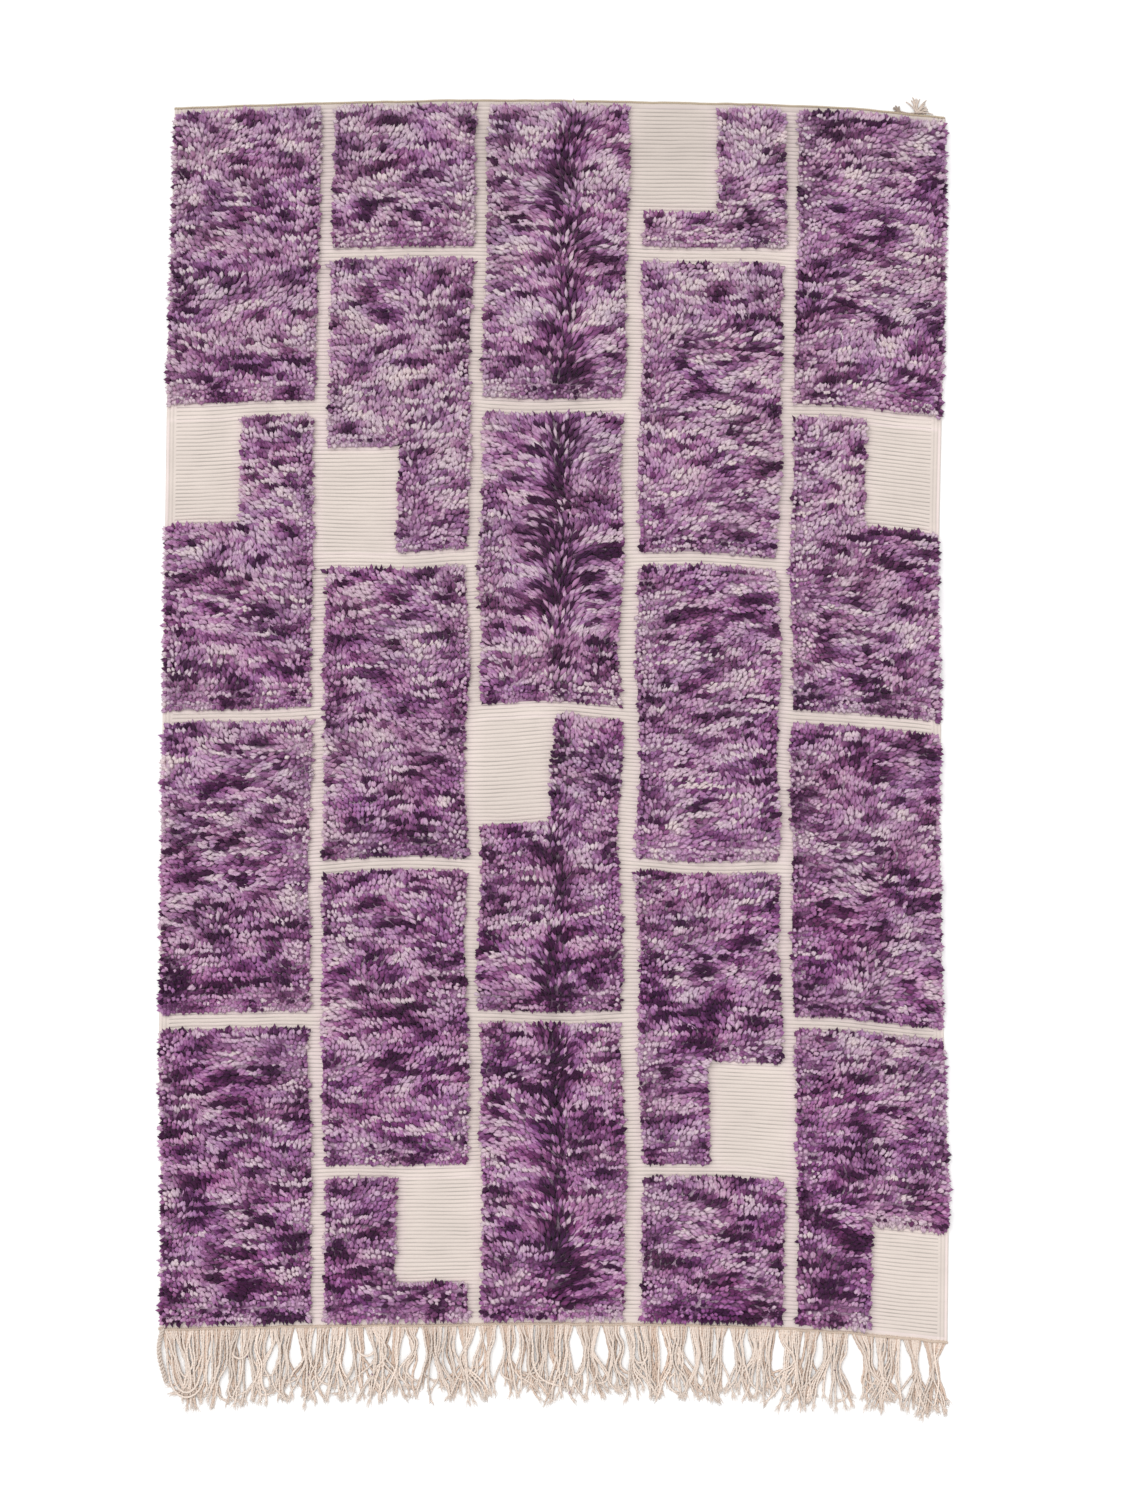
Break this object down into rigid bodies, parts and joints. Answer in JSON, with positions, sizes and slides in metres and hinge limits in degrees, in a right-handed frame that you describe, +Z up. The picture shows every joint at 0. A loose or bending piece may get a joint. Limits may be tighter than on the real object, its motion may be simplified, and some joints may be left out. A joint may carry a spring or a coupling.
{
  "type": "kilim rug with knotted pile panels",
  "caption": "Hand-woven rug lying flat: shaggy violet pile panels parted by ribbed ivory flat-woven channels, with a cotton fringe at one end",
  "frame": {"origin": "centre of the footprint, fringe included, on the floor plane that the rug lies on", "axes": "+X across the rug to its right-hand selvedge, +Y along its length from the fringed foot to the head, +Z up out of the pile"},
  "size_m": [1.646, 2.747, 0.0318],
  "materials": {
    "dyed_pile": "matte",
    "ivory_wool": "matte",
    "warp_cotton": "matte"
  },
  "bodies": {
    "root": {"rug": "dyed_pile", "fringe": "warp_cotton", "corner_tails": "ivory_wool"}
  },
  "joints": []
}
